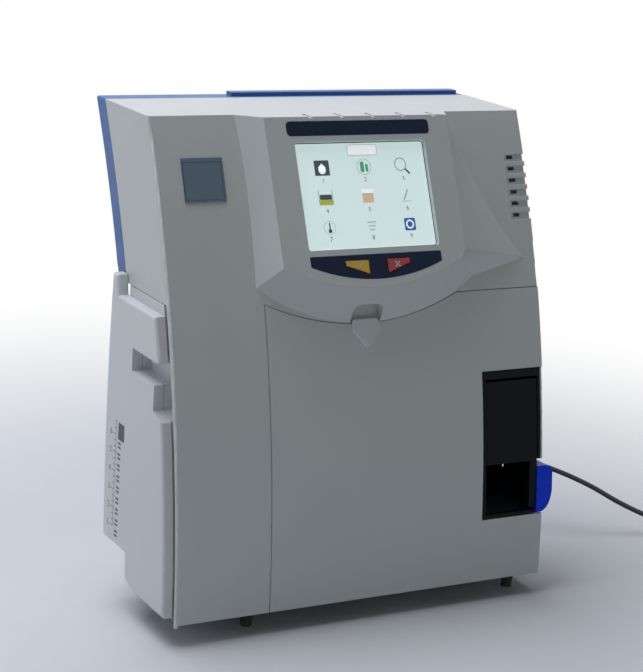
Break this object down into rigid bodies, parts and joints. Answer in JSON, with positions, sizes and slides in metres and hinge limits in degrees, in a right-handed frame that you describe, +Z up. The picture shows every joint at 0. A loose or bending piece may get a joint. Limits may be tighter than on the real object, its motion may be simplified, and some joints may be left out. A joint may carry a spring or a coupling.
{
  "type": "electrolyte analyzer",
  "caption": "Bench analyzer for blood electrolytes with a tilted screen, a drop-down front door, a flap sampler, a slide-in reagent pack and a coiled low-voltage lead.",
  "frame": {"origin": "centre of the analyzer's outline on the table, under its feet, measured without the power lead", "axes": "+Z up from the table; +Y towards the rear panel; +X to the operator's right, towards the sampler"},
  "size_m": [0.7261, 0.2181, 0.389],
  "materials": {
    "white_abs": "fine-textured moulded ABS",
    "white_trim": "smooth moulded ABS",
    "pack_white": "thin white carton board and plastic",
    "blue_cover": "moulded ABS",
    "navy_gloss": "printed gloss film on plastic",
    "grey_plate": "satin",
    "grey_moulding": "moulded",
    "black_plastic": "satin moulded",
    "yellow_key": "satin key cap",
    "red_key": "satin key cap",
    "blue_grip": "smooth moulded",
    "screen_glass": "clear front glass over a lit display",
    "grey_steel": "zinc plated",
    "sheet_metal": "light grey powder coat",
    "steel": "brushed",
    "polished_steel": "polished",
    "foot_rubber": "moulded",
    "roller_plastic": "turned acetal",
    "electrode_plastic": "clear tinted acrylic",
    "bottle_plastic": "blow-moulded polyethylene",
    "hose_silicone": "translucent silicone",
    "board_green": "solder mask",
    "lead_pvc": "flexible PVC",
    "brass_pins": "plated"
  },
  "bodies": {
    "analyzer": {"adapter_pins": "brass_pins", "back_cover": "blue_cover", "badge_plate": "grey_plate", "base_tray": "grey_moulding", "bay_liner": "sheet_metal", "bulkhead": "sheet_metal", "data_port": "steel", "display_case": "grey_steel", "display_screen": "screen_glass", "dock_block": "grey_moulding", "door_hinge_rod": "steel", "electrode_1": "electrode_plastic", "electrode_2": "electrode_plastic", "electrode_3": "electrode_plastic", "electrode_4": "electrode_plastic", "electrode_5": "electrode_plastic", "electrode_rack": "grey_moulding", "feed_hose": "hose_silicone", "feet": "foot_rubber", "key_panel": "navy_gloss", "lead_plug": "lead_pvc", "main_board": "board_green", "name_bar": "navy_gloss", "pinch_valve_1": "steel", "pinch_valve_2": "steel", "plug_in_adapter": "black_plastic", "power_lead": "lead_pvc", "power_lead_coil": "lead_pvc", "power_socket": "black_plastic", "pump_head": "black_plastic", "pump_motor": "steel", "pump_tube": "hose_silicone", "rear_panel": "sheet_metal", "rear_screws": "steel", "sample_hose": "hose_silicone", "sampler_flap_pin": "steel", "sampler_housing": "black_plastic", "shell": "white_abs", "standard_hose": "hose_silicone", "switch_bezel": "black_plastic"},
    "door": {"door": "white_abs", "door_pull": "white_trim"},
    "flap": {"sampler_flap": "black_plastic", "sampler_grip": "blue_grip", "needle_holder": "black_plastic", "sample_needle": "polished_steel"},
    "pack": {"pack_face": "white_trim", "pack_case": "pack_white", "pack_ports": "black_plastic", "waste_bottle": "bottle_plastic", "standard_a_bottle": "bottle_plastic", "standard_b_bottle": "bottle_plastic"},
    "lever": {"rack_lever": "blue_grip"},
    "rotor": {"pump_rotor": "steel"},
    "roller_1": {"pump_roller_1": "roller_plastic"},
    "roller_2": {"pump_roller_2": "roller_plastic"},
    "roller_3": {"pump_roller_3": "roller_plastic"},
    "switch": {"power_switch": "black_plastic"},
    "yes_key": {"yes_key": "yellow_key"},
    "no_key": {"no_key": "red_key"}
  },
  "joints": [
    {"name": "door_hinge", "type": "hinge", "parent": "analyzer", "child": "door", "pos_m": [0, -0.08801, 0.0196], "axis": [1, 0, 0], "range_deg": [0, 95]},
    {"name": "flap_hinge", "type": "hinge", "parent": "analyzer", "child": "flap", "pos_m": [0.134, -0.06686, 0.175], "axis": [-1, 0, 0], "range_deg": [0, 50]},
    {"name": "pack_slide", "type": "slide", "parent": "analyzer", "child": "pack", "axis": [-1, 0, 0], "range_m": [0, 0.09]},
    {"name": "lever_pivot", "type": "hinge", "parent": "analyzer", "child": "lever", "pos_m": [0.0052, -0.04021, 0.155], "axis": [-1, 0, 0], "range_deg": [0, 90]},
    {"name": "pump_spin", "type": "hinge", "parent": "analyzer", "child": "rotor", "pos_m": [-0.04, -0.04001, 0.087], "axis": [0, 1, 0], "continuous": true},
    {"name": "roller_1_spin", "type": "hinge", "parent": "rotor", "child": "roller_1", "pos_m": [-0.04, -0.04001, 0.1015], "axis": [0, 1, 0], "continuous": true},
    {"name": "roller_2_spin", "type": "hinge", "parent": "rotor", "child": "roller_2", "pos_m": [-0.02744, -0.04001, 0.07975], "axis": [0, 1, 0], "continuous": true},
    {"name": "roller_3_spin", "type": "hinge", "parent": "rotor", "child": "roller_3", "pos_m": [-0.05256, -0.04001, 0.07975], "axis": [0, 1, 0], "continuous": true},
    {"name": "switch_rock", "type": "hinge", "parent": "analyzer", "child": "switch", "pos_m": [0.084, 0.02179, 0.085], "axis": [1, 0, 0], "range_deg": [-9, 9]},
    {"name": "yes_key_press", "type": "slide", "parent": "analyzer", "child": "yes_key", "axis": [0, 0.9114, -0.4115], "range_m": [0, 0.0006], "stiffness_N_per_m": 1500, "springref_m": -0.0004},
    {"name": "no_key_press", "type": "slide", "parent": "analyzer", "child": "no_key", "axis": [0, 0.9114, -0.4115], "range_m": [0, 0.0006], "stiffness_N_per_m": 1500, "springref_m": -0.0004}
  ],
  "couplings": [
    {"joint": "roller_1_spin", "follows": "pump_spin", "ratio": -4.2222},
    {"joint": "roller_2_spin", "follows": "pump_spin", "ratio": -4.2222},
    {"joint": "roller_3_spin", "follows": "pump_spin", "ratio": -4.2222}
  ]
}
